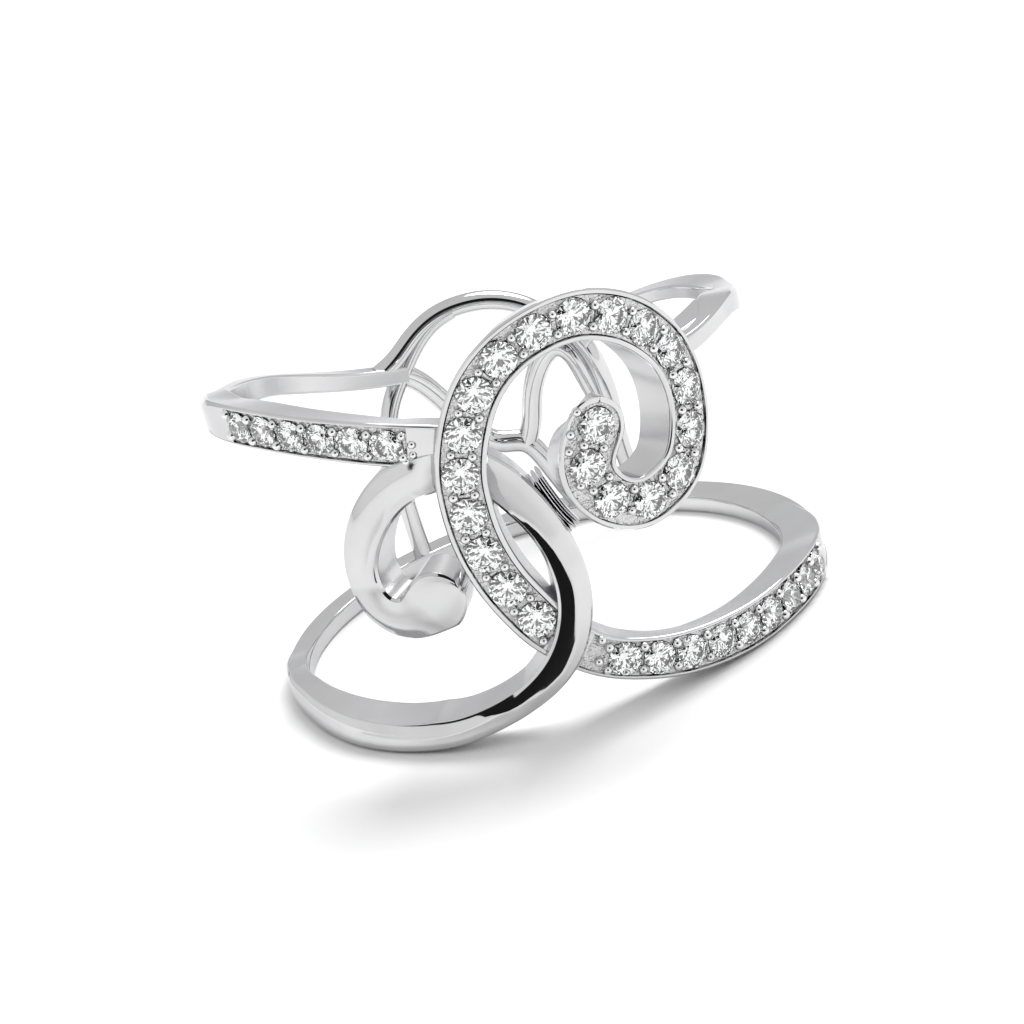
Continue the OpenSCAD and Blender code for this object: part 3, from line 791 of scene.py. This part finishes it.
@dataclass
class SetStrand:
    """Strand with stones in a channel between two rims.

    Each row of stones has its stones' radius, the width of its rims, and a span: how much channel
    there is before its first and after its last stone. The edges are rows of distance along the
    strand and width of the chamfers, the bevel is the radius of their corners, and the taper is
    how much the channel narrows with its depth. The recess is how deep the metal between stones lies.
    """

    name: str
    path: Path
    rows: list[StoneRow]
    stone_radius: list[float]
    rims: list[float]
    spans: list[tuple[float, float]]
    drafts: tuple[Draft, Draft]
    edges: Sequence[tuple[float, float]] = ((0, 0.07), (1, 0.07))
    bevel: float = 0.03
    taper: float = 0.28
    step: float = 0.09
    recess: float = 0.09
    # Shares of the half width that the chamfer, the rim, the head's rim and the channel's foot take
    EDGE_SHARE: ClassVar[float] = 0.36
    RIM_SHARE: ClassVar[float] = 0.5
    HEAD_SHARE: ClassVar[float] = 0.95
    FOOT_SHARE: ClassVar[float] = 0.97
    # Least flat of a rim, and depth of the channel where it has no stones
    RIM_FLAT: ClassVar[float] = 0.01
    LEDGE: ClassVar[float] = 0.02
    # Radii of the left foot, of the channel's corners, and of the right edges and foot
    FOOT_ROUND: ClassVar[float] = 0.08
    CHANNEL_ROUND: ClassVar[float] = 0.02
    RIGHT_ROUND: ClassVar[tuple[float, float, float]] = (0.2, 0.2, 0.1)
    ARC: ClassVar[int] = 5
    # Metal between the stones: its grid, its gap to the rims, how far it reaches under the head's
    # rim, the rise and share of its middle, and how deep its ends go down
    LINES: ClassVar[int] = 33
    COLUMNS: ClassVar[int] = 12
    SAMPLES: ClassVar[int] = 90
    WALL_GAP: ClassVar[float] = 0.05
    HEAD_LAP: ClassVar[float] = 0.02
    CROWN: ClassVar[float] = 0.04
    CROWN_SHARE: ClassVar[float] = 0.5
    SKIRT: ClassVar[float] = 0.45

    def channels(self) -> list[tuple[float, float]]:
        """Distances at which each channel begins and ends."""
        return [
            (row.places[0] - before, row.places[-1] + after)
            for row, (before, after) in zip(self.rows, self.spans)]

    def rim(self, s: np.ndarray) -> np.ndarray:
        """Width of the rims at distances along the strand."""
        if len(self.rims) == 1:
            return np.full(len(s), self.rims[0])
        (_, first_end), (second_start, _) = self.channels()
        return np.where(s < (first_end + second_start) / 2, *self.rims)

    def outline(self, s: np.ndarray) -> np.ndarray:
        """Outline of [across, out] at distances along the strand."""
        rows = self.path.at(s)
        h, o = self.path.half(s), rows[:, Column.OUTER]
        i = np.maximum(rows[:, Column.INNER], BORE + CLEAR)
        sunk = np.any([(s > low) & (s < high) for low, high in self.channels()], axis=0)
        depth = np.where(sunk, CHANNEL_DEPTH, self.LEDGE)
        e = np.minimum(np.interp(s, *zip(*self.edges)), h * self.EDGE_SHARE)
        rim = np.maximum(np.minimum(self.rim(s), h * self.RIM_SHARE), e + self.RIM_FLAT)
        if self.path.round_end:
            past = self.path.round_end - (self.path.length - s)
            arc = half_chord(self.path.round_end - self.rims[-1], past)
            rim = np.where(past > 0, np.minimum(h - arc, self.HEAD_SHARE * h), rim)
        foot = np.minimum(rim + self.taper * depth, self.FOOT_SHARE * h)
        right, left = (
            np.min([np.interp(rows[:, column], *zip(*table)) for column, table in side], axis=0)
            * h / FACE_HALF for side in self.drafts)
        corners = section(
            (h - left, i), (h, o - e), (h - e, o), (h - rim, o), (h - foot, o - depth),
            (-h + foot, o - depth), (-h + rim, o), (-h + e, o), (-h, o - e), (-h + right, i))
        radii = [self.FOOT_ROUND, self.bevel, self.bevel, *[self.CHANNEL_ROUND] * 4, *self.RIGHT_ROUND]
        return rounded(corners, radii, self.ARC)

    def seat(
        self, skin: Skin, ends: tuple[float, float], holes: Sequence[np.ndarray], radius: float
    ) -> None:
        """Metal between two places along the strand, cut away round the stones there.

        Args:
            skin: Mesh in the making.
            ends: Distances at which it begins and ends.
            holes: Spots of the stones.
            radius: Radius of the stones' seats.
        """
        low, high = ends
        rim = self.rim(np.array([(low + high) / 2]))[0]
        walls = float(self.path.at(np.array(ends))[:, Column.HALF].max() - rim) - self.WALL_GAP
        y = walls * np.sin(np.linspace(-math.pi / 2, math.pi / 2, self.LINES))
        u = np.linspace(low, high, self.SAMPLES)
        grid = np.stack([self.path.flat(u, across) for across in y])
        start, stop = np.full(self.LINES, low), np.full(self.LINES, high)
        for hole in holes:
            away = np.linalg.norm(grid - hole, axis=2)
            for k in range(self.LINES):
                inside = np.flatnonzero(away[k] < radius)
                if len(inside) and inside[0] == 0:
                    start[k] = max(start[k], u[inside[-1]])
                elif len(inside):
                    stop[k] = min(stop[k], u[inside[0]])
        if self.path.round_end:
            reach = self.path.round_end - self.rims[-1] + self.HEAD_LAP
            stop = np.minimum(stop, self.path.length - self.path.round_end + half_chord(reach, y))
        stop = np.maximum(stop, start)
        share = np.concatenate([[0], np.linspace(0, 1, self.COLUMNS), [1]])
        s = start[:, None] + (stop - start)[:, None] * share
        flat = np.stack([self.path.flat(line, across) for line, across in zip(s, y)])
        face = np.stack([self.path.at(line)[:, Column.OUTER] for line in s])
        side = np.abs(y)[:, None] / walls
        wave = np.sin(share * math.pi)[None, :]
        height = self.CROWN * wave * (side < self.CROWN_SHARE) - self.recess
        height[:, 0] = height[:, -1] = -self.SKIRT
        points = rolled(flat, face + height).reshape(-1, 3)
        faces = grid_faces(*s.shape, False)
        corner = points[faces]
        facing = unit(np.cross(corner[:, 2] - corner[:, 0], corner[:, 3] - corner[:, 1]))
        skin.add(points, faces, np.repeat(facing, 4, axis=0), np.zeros(len(faces), int))

    def build(self, finishes: Finishes) -> list[bpy.types.Object]:
        """Makes the strand and the metal between its stones.

        Args:
            finishes: Materials of the casting.

        Returns:
            The pieces.
        """
        s = self.path.stations(self.step, [end for channel in self.channels() for end in channel])
        outline = self.outline(s)
        group = self.ARC + GUARDS
        # Satin are both feet, both walls and the side at the finger
        satin = np.zeros(outline.shape[1], bool)
        satin[:group] = True
        satin[-group - GUARDS:] = True
        skin = Skin()
        skin.sweep(self.path, s, outline, satin)
        strand = skin.piece(self.name, finishes.both())
        seats = Skin()
        for row, radius, (low, high) in zip(self.rows, self.stone_radius, self.channels()):
            places = [low, *row.places, high]
            for k, ends in enumerate(zip(places[:-1], places[1:])):
                self.seat(seats, ends, row.spots[max(k - 1, 0):k + 1], radius)
        return [strand, seats.piece(self.name + "_seats", [finishes.cut])]


@dataclass
class PlainStrand:
    """Polished strand with a domed face between narrow chamfers."""

    name: str
    path: Path
    lifts: Sequence[tuple[float, float]] = ((0, 0), (1, 0))
    edge: float = 0.1
    domes: Sequence[tuple[float, float]] = ((0, 0.05), (1, 0.05))
    leans: Sequence[tuple[float, float, float, float]] = ((0, 9, 0, 0), (1, 9, 0, 0))
    toward: tuple[float, float, float] = (0, -1, 0)
    step: float = 0.09
    # Shares of the half width that the chamfer and the dome take, of the lift at the left edge,
    # and of the face between the crown's corners
    EDGE_SHARE: ClassVar[float] = 0.45
    DOME_SHARE: ClassVar[float] = 0.35
    LIFT_SHARE: ClassVar[float] = 0.6
    CROWN_SHARE: ClassVar[float] = 0.45
    # Radii from the left foot to the right one, the crown's as wide as its edges allow
    RADII: ClassVar[tuple[float, ...]] = (0.08, 0.04, 0.04, 9, 9, 0.04, 0.06, 0.08)
    ARC: ClassVar[int] = 6
    # Where the lean sets in, beside its own start and by how far a normal points outwards, and the
    # width of both blends
    LEAN_EARLY: ClassVar[float] = 0.22
    LEAN_BLEND: ClassVar[float] = 0.27
    FACE_FROM: ClassVar[float] = 0.74
    FACE_BLEND: ClassVar[float] = 0.12

    def outline(self, s: np.ndarray) -> np.ndarray:
        """Outline of [across, out] at distances along the strand."""
        rows = self.path.at(s)
        h, o, i = self.path.half(s), rows[:, Column.OUTER], rows[:, Column.INNER]
        lift = np.interp(s, *zip(*self.lifts))
        e = np.minimum(self.edge, h * self.EDGE_SHARE)
        d = np.minimum(np.interp(s, *zip(*self.domes)), h * self.DOME_SHARE)
        wide = h - e
        crown = self.CROWN_SHARE * wide
        corners = section(
            (h + lift, i), (h + self.LIFT_SHARE * lift, o - e - d), (wide, o - d), (crown, o),
            (-crown, o), (-wide, o - d), (-h, o - e - d), (-h, i))
        return rounded(corners, self.RADII, self.ARC)

    def lean(self, s: np.ndarray, outline: np.ndarray) -> np.ndarray:
        """How the face's polish leans, to the front where it catches the dark of the room.

        Args:
            s: Distances along the strand.
            outline: Outline of [across, out] at each.

        Returns:
            What is added to each normal.
        """
        along, *columns = zip(*self.leans)
        begin, front, down = (np.interp(s, along, column)[:, None] for column in columns)
        place = outline[..., 0] / self.path.half(s)[:, None]
        rise = np.clip((place - begin + self.LEAN_EARLY) / self.LEAN_BLEND, 0, 1)
        rise = rise * rise * (3 - 2 * rise)
        face = np.clip((outline_normals(outline)[..., 1] - self.FACE_FROM) / self.FACE_BLEND, 0, 1)
        ahead, below = (share[..., None] for share in (front * rise * face, down * (1 - rise) * face))
        return ahead * np.array(self.toward) - below * np.array((0, 0, 1))

    def build(self, finishes: Finishes) -> list[bpy.types.Object]:
        """Makes the strand.

        Args:
            finishes: Materials of the casting.

        Returns:
            The piece, in a list.
        """
        s = self.path.stations(self.step)
        outline = self.outline(s)
        group = self.ARC + GUARDS
        last = outline.shape[1] - group
        # Satin are both walls, the right foot and the side at the finger
        satin = np.zeros(outline.shape[1], bool)
        satin[[group - 1, last - 1]] = True
        satin[last:] = True
        skin = Skin()
        skin.sweep(self.path, s, outline, satin, self.lean(s, outline))
        return [skin.piece(self.name, finishes.both())]


@dataclass
class Wire:
    """Wire of oval section, for the back and for the ribs beside the head."""

    name: str
    rows: Sequence[tuple[float, float]]
    half: float
    thickness: float = 0.78
    soften: float = 0.35
    step: float = 0.12
    points: int = 28

    def build(self, finishes: Finishes) -> list[bpy.types.Object]:
        """Makes the wire.

        Args:
            finishes: Materials of the casting.

        Returns:
            The piece, in a list.
        """
        path = Path([(a, z, self.half, BORE + self.thickness) for a, z in self.rows], self.soften)
        s = path.stations(self.step)
        turn = np.linspace(-math.pi, math.pi, self.points, endpoint=False)[None, :]
        rows = path.at(s)[:, :, None]
        low, high = rows[:, Column.INNER], rows[:, Column.OUTER]
        out = (low + high) / 2 + (high - low) / 2 * np.sin(turn)
        across = np.broadcast_to(self.half * np.cos(turn), out.shape)
        skin = Skin()
        skin.sweep(path, s, np.stack([across, out], -1), np.zeros(self.points, bool))
        return [skin.piece(self.name, finishes.both())]


@dataclass
class LowerBand:
    """Flat band at the back of the lower ring, a little off centre."""

    name: str = "lower_band"
    height: float = 0.62
    radius: float = 9.7
    offset: float = 0.3
    start: float = 80.0
    end: float = 274.0
    sections: int = 60
    soften: float = 0.5
    step: float = 0.25
    radii: tuple[float, ...] = (0.1, 0.07, 0.07, 0.1)
    ARC: ClassVar[int] = 6

    def build(self, finishes: Finishes) -> list[bpy.types.Object]:
        """Makes the band.

        Args:
            finishes: Materials of the casting.

        Returns:
            The piece, in a list.
        """
        rows = []
        for angle in np.linspace(self.start, self.end, self.sections):
            turn = math.radians(angle)
            chord = math.sqrt(self.radius**2 - (self.offset * math.cos(turn)) ** 2)
            outer = self.offset * math.sin(turn) + chord
            rows.append((angle, self.height / 2, self.height / 2, outer, BORE))
        path = Path(rows, self.soften)
        s = path.stations(self.step)
        h, o, i = path.at(s)[:, [Column.HALF, Column.OUTER, Column.INNER]].T
        outline = rounded(section((h, i), (h, o), (-h, o), (-h, i)), self.radii, self.ARC)
        skin = Skin()
        skin.sweep(path, s, outline, np.zeros(outline.shape[1], bool))
        return [skin.piece(self.name, finishes.both())]


@dataclass
class Beads:
    """Beads of metal that hold the stones, two in each gap."""

    rows: list[StoneRow]
    across: list[float]
    more: Sequence[tuple[float, float, float]]
    radius: float = 0.185
    rise: float = 0.23
    sink: float = 0.06
    smallest: float = 0.93
    largest: float = 1.05
    segments: int = 20
    rings: int = 12
    seed: int = 7

    def points(self) -> tuple[np.ndarray, np.ndarray]:
        """Places of the beads and the directions that they stand in.

        Returns:
            Points in metres and unit vectors.
        """
        spots = []
        for row, across in zip(self.rows, self.across):
            for p, q in row.gaps():
                way = unit(q - p)
                for reach in (-across, across):
                    spot = (p + q) / 2 + reach * np.array([-way[1], way[0]])
                    near = np.array([row.path.nearest(spot)])
                    spots.append((*spot, row.path.at(near)[0, Column.OUTER] - self.sink))
        spots += [(angle / DEG, height, out) for angle, height, out in self.more]
        table = np.array(spots)
        angle = np.radians(table[:, 0] * DEG)
        ways = np.stack([np.sin(angle), -np.cos(angle), np.zeros_like(angle)], -1)
        return rolled(table[:, :2], table[:, 2]) * MM, ways

    def tree(self, metal: bpy.types.Material) -> bpy.types.NodeTree:
        """Geometry nodes that set a domed bead on every point.

        Args:
            metal: Material of the beads.

        Returns:
            The tree.
        """
        tree = bpy.data.node_groups.new("bead_setter", "GeometryNodeTree")
        tree.is_modifier = True
        inputs = (
            ("Geometry", "Geometry"), ("Bead Radius", "Float"), ("Bead Rise", "Float"), ("Seed", "Int"))
        for name, kind in inputs:
            tree.interface.new_socket(name, in_out="INPUT", socket_type="NodeSocket" + kind)
        tree.interface.new_socket("Geometry", in_out="OUTPUT", socket_type="NodeSocketGeometry")
        kinds = (
            ("inside", "NodeGroupInput", {}),
            ("ball", "GeometryNodeMeshUVSphere", {}),
            ("smooth", "GeometryNodeSetShadeSmooth", {}),
            ("way", "GeometryNodeInputNamedAttribute", {"data_type": "FLOAT_VECTOR"}),
            ("align", "FunctionNodeAlignRotationToVector", {"axis": "Z"}),
            ("size", "ShaderNodeCombineXYZ", {}),
            ("vary", "FunctionNodeRandomValue", {"data_type": "FLOAT"}),
            ("scale", "ShaderNodeVectorMath", {"operation": "SCALE"}),
            ("place", "GeometryNodeInstanceOnPoints", {}),
            ("real", "GeometryNodeRealizeInstances", {}),
            ("paint", "GeometryNodeSetMaterial", {}),
            ("outside", "NodeGroupOutput", {}),
        )
        nodes = {}
        for name, kind, settings in kinds:
            nodes[name] = tree.nodes.new(kind)
            for setting, value in settings.items():
                setattr(nodes[name], setting, value)
        values = (
            ("ball", "Segments", self.segments),
            ("ball", "Rings", self.rings),
            ("ball", "Radius", 1.0),
            ("way", "Name", "way"),
            ("vary", RANDOM_LOW, self.smallest),
            ("vary", RANDOM_HIGH, self.largest),
            ("paint", "Material", metal),
        )
        for name, socket, value in values:
            nodes[name].inputs[socket].default_value = value
        links = (
            ("ball", "Mesh", "smooth", "Geometry"),
            ("inside", "Bead Radius", "size", "X"),
            ("inside", "Bead Radius", "size", "Y"),
            ("inside", "Bead Rise", "size", "Z"),
            ("inside", "Seed", "vary", "Seed"),
            ("size", "Vector", "scale", 0),
            ("vary", RANDOM_VALUE, "scale", "Scale"),
            ("way", "Attribute", "align", "Vector"),
            ("inside", "Geometry", "place", "Points"),
            ("smooth", "Geometry", "place", "Instance"),
            ("align", "Rotation", "place", "Rotation"),
            ("scale", "Vector", "place", "Scale"),
            ("place", "Instances", "real", "Geometry"),
            ("real", "Geometry", "paint", "Geometry"),
            ("paint", "Geometry", "outside", "Geometry"),
        )
        for source, output, target, socket in links:
            tree.links.new(nodes[source].outputs[output], nodes[target].inputs[socket])
        return tree

    def build(self, finishes: Finishes) -> list[bpy.types.Object]:
        """Makes all the beads as one piece.

        Args:
            finishes: Materials of the casting.

        Returns:
            The piece, in a list.
        """
        places, ways = self.points()
        cloud = bpy.data.meshes.new("bead_points")
        cloud.from_pydata(places.tolist(), [], [])
        cloud.attributes.new("way", "FLOAT_VECTOR", "POINT").data.foreach_set("vector", ways.ravel())
        holder = in_scene("beads", cloud)
        tree = self.tree(finishes.burnished_painted_highlight)
        modifier = holder.modifiers.new("bead_setter", "NODES")
        modifier.node_group = tree
        sizes = {"Bead Radius": self.radius * MM, "Bead Rise": self.rise * MM, "Seed": self.seed}
        for socket in tree.interface.items_tree:
            if socket.in_out == "INPUT" and socket.name in sizes:
                modifier[socket.identifier] = sizes[socket.name]
        graph = bpy.context.evaluated_depsgraph_get()
        mesh = bpy.data.meshes.new_from_object(holder.evaluated_get(graph))
        holder.modifiers.remove(modifier)
        holder.data = mesh
        return [on_ring(holder)]


@dataclass
class Stones:
    """All the brilliants, dressed as clear stones."""

    finish: Diamond = field(default_factory=Diamond)

    def build(self) -> None:
        """Gives every stone of the frame its material."""
        clear = self.finish.material()
        for row in Row:
            for name in row.nodes():
                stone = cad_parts[name]
                stone.data.materials.clear()
                stone.data.materials.append(clear)
            LOG.info("%s: %d stones", *row.value)


@dataclass(frozen=True)
class Room:
    """Light of the room, bright all round and dark where the camera stands.

    Cones are pairs of degrees from the camera's direction, where they begin and where they are
    full. The back wall and the ceiling have such pairs of a direction's Y and Z. The last four
    fields are for rays inside a stone.
    """

    camera_cone: tuple[float, float] = (29, 26)
    camera_dark: float = 0.985
    back_wall: tuple[float, float] = (-0.1, 0.7)
    back_dark: float = 0.2
    ceiling: tuple[float, float] = (0.42, 0.8)
    ceiling_light: float = 0.8
    stone_cone: tuple[float, float] = (48, 43)
    stone_core: tuple[float, float] = (24, 19)
    stone_light: tuple[float, float] = (0.03, 1.4)
    stone_dark: float = 1.35

    def light(self, back: Vector) -> None:
        """Fills the world's nodes.

        Args:
            back: Direction of the camera from the ring.
        """
        world = bpy.data.worlds.new("studio")
        bpy.context.scene.world = world
        shader = Shader(world)
        where = shader.node("ShaderNodeTexCoord", {}, {}, "Generated")
        facing = shader.node(
            "ShaderNodeVectorMath", {"operation": "DOT_PRODUCT"}, {0: where, 1: tuple(back)}, "Value")
        dark, ahead, core = (
            facing.step(*(math.cos(math.radians(angle)) for angle in cone))
            for cone in (self.camera_cone, self.stone_cone, self.stone_core))
        height, depth = (shader.node("ShaderNodeSeparateXYZ", {}, {0: where}, axis) for axis in "ZY")
        wall = 1.0 - depth.step(*self.back_wall) * self.back_dark
        room = wall + height.step(*self.ceiling) * (self.ceiling_light - wall)
        strength = room * (1 - dark * self.camera_dark)
        inside = shader.node("ShaderNodeLightPath", {}, {}, "Is Transmission Ray")
        low, more = self.stone_light
        strength = strength + inside * (low + ahead * more - core * self.stone_dark - strength)
        sky = shader.node("ShaderNodeBackground", {}, {"Color": (1, 1, 1, 1), "Strength": strength})
        shader.node("ShaderNodeOutputWorld", {}, {"Surface": sky})


@dataclass
class Studio:
    """Camera, floor and light. The paper, the lamp and the clipping are in metres."""

    azimuth: float = 4.0
    elevation: float = 21.5
    roll: float = -16.1
    distance: float = 400.0
    lens: float = 402.2
    sensor: float = 36.0
    clipping: tuple[float, float] = (0.01, 20.0)
    target: tuple[float, float, float] = (0.0, 0.0, 6.1)
    shift_right: float = 0.227
    shift_up: float = -1.608
    paper_reach: float = 1.5
    key_place: tuple[float, float, float] = (0.2, 0.28, 0.55)
    key_width: float = 0.42
    key_power: float = 3.4

    def axes(self) -> tuple[Vector, Vector, Vector]:
        """Right, up and backward directions of the camera."""
        a, e, t = (math.radians(v) for v in (self.azimuth, self.elevation, self.roll))
        back = Vector((math.sin(a) * math.cos(e), -math.cos(a) * math.cos(e), math.sin(e)))
        level = Vector((math.cos(a), math.sin(a), 0))
        rise = back.cross(level)
        right = level * math.cos(t) + rise * math.sin(t)
        up = rise * math.cos(t) - level * math.sin(t)
        return right, up, back

    def camera(self) -> None:
        """Makes the camera at the photograph's angle."""
        right, up, back = self.axes()
        data = bpy.data.cameras.new("camera")
        data.lens, data.sensor_width = self.lens, self.sensor
        data.clip_start, data.clip_end = self.clipping
        aim = Vector(self.target) + right * self.shift_right + up * self.shift_up
        place = Matrix((right, up, back)).transposed().to_4x4()
        place.translation = (aim + back * self.distance) * MM
        made = in_scene("camera", data)
        made.matrix_world = place
        bpy.context.scene.camera = made

    def floor(self) -> None:
        """Makes the paper that the ring lies on."""
        mesh = bpy.data.meshes.new("paper")
        signs = ((-1, -1), (1, -1), (1, 1), (-1, 1))
        corners = [(x * self.paper_reach, y * self.paper_reach, 0) for x, y in signs]
        mesh.from_pydata(corners, [], [tuple(range(len(corners)))])
        mesh.materials.append(Paper().material())
        in_scene("paper", mesh)

    def lamp(self) -> None:
        """Key light from the upper right, behind the ring."""
        data = bpy.data.lights.new("key", "AREA")
        data.shape, data.size, data.energy = "DISK", self.key_width, self.key_power
        made = in_scene("key", data)
        made.location = self.key_place
        made.rotation_euler = (-made.location).to_track_quat("-Z", "Y").to_euler()

    def build(self) -> None:
        """Sets up the studio."""
        self.camera()
        self.floor()
        Room().light(self.axes()[2])
        self.lamp()
        bpy.context.scene.view_settings.view_transform = "Standard"


def spiral_rows() -> list[tuple[float, ...]]:
    """Rows of the stone-set swirl, from its tail to its eye."""
    rows = []
    usual = (0, BORE + CLEAR)
    for bearing, reach, *more in SPIRAL:
        wider, inner = (*more, *usual[len(more):])
        turn = math.radians(bearing)
        angle, height = EYE[0] + reach * math.cos(turn) * DEG, EYE[1] + reach * math.sin(turn)
        rows.append((angle, height, FACE_HALF + wider, FACE, inner))
    return rows


def main() -> None:
    """Builds the ring and the studio."""
    logging.basicConfig(level=logging.INFO, format="%(name)s: %(message)s")
    polished = WhiteGold(
        "polished_white_gold", (0.64, 0.64, 0.645), roughness=0.07, spread=0.05, grain=0.09, relief=0.05)
    satin = WhiteGold(
        "satin_white_gold", (0.63, 0.63, 0.637), roughness=0.24, spread=0.1, grain=0.05, relief=0.14)
    # The beads' metal is burnished, and its colour is lighter than the rest's as a painted highlight
    burnished_painted_highlight = WhiteGold(
        "burnished_white_gold_painted_highlight", (0.82, 0.82, 0.825), roughness=0.05, spread=0.04, grain=0.07, relief=0.04)
    cut = WhiteGold(
        "cut_white_gold", (0.7, 0.7, 0.7), roughness=0.12, spread=0.1, grain=0.2, relief=1.0, depth=0.16)
    finishes = Finishes(*(finish.material() for finish in (polished, satin, burnished_painted_highlight, cut)))
    swirl = Path([*LOWER_ARM, *spiral_rows()], soften=0.3, round_end=1.14)
    upper = Path(UPPER_LEFT, soften=0.6)
    plain = Path(PLAIN, soften=0.35, round_end=1.13)
    foot = Path(PLAIN_FOOT, soften=0.4)
    right = Path(UPPER_RIGHT, soften=0.6)
    prong = Path(FORK_INNER, soften=0.5)
    stones = [
        StoneRow(swirl, Row.LOWER), StoneRow(swirl, Row.SWIRL, open_end=False), StoneRow(upper, Row.UPPER)]
    studio = Studio()
    assemblies = [
        LowerBand(),
        SetStrand(
            "lower_arm_and_swirl", swirl, stones[:2], stone_radius=[0.59, 0.65], rims=[0.13, 0.19],
            spans=[(0.75, 1.5), (0.85, 0.84)], drafts=SWIRL_DRAFTS),
        SetStrand(
            "upper_left_arm", upper, stones[2:], stone_radius=[0.59], rims=[0.13],
            spans=[(0.8, 0.75)], drafts=UPPER_DRAFTS, edges=UPPER_EDGES, bevel=0.1),
        PlainStrand(
            "plain_swirl", plain, lifts=PLAIN_LIFTS, domes=PLAIN_DOMES, leans=LEANS,
            toward=tuple(studio.axes()[2])),
        PlainStrand("plain_foot", foot, edge=0.08, domes=[(0, 0.02), (1, 0.02)]),
        PlainStrand("upper_right_arm", right, edge=0.08, domes=[(0, 0.03), (1, 0.03)]),
        PlainStrand("inner_fork", prong, edge=0.04, domes=[(0, 0.02), (1, 0.02)]),
        Wire("back_loop", LOOP, half=0.36),
        Wire("back_post", POST, half=0.36),
        Wire("back_diagonal", DIAGONAL, half=0.42),
        Wire("back_arch", ARCH, half=0.42),
    ]
    for k, side in enumerate(RIB_SIDES):
        rib = [(angle + side * DEG, height + RIB_SLANT * side) for angle, height in RIBS]
        assemblies.append(Wire(f"head_rib_{k + 1}", rib, half=0.1, thickness=1.35))
    assemblies.append(Beads(stones, across=[0.4, 0.37, 0.4], more=MORE_BEADS))
    for assembly in assemblies:
        assembly.build(finishes)
    Stones().build()
    studio.build()


if __name__ == "__main__":
    main()
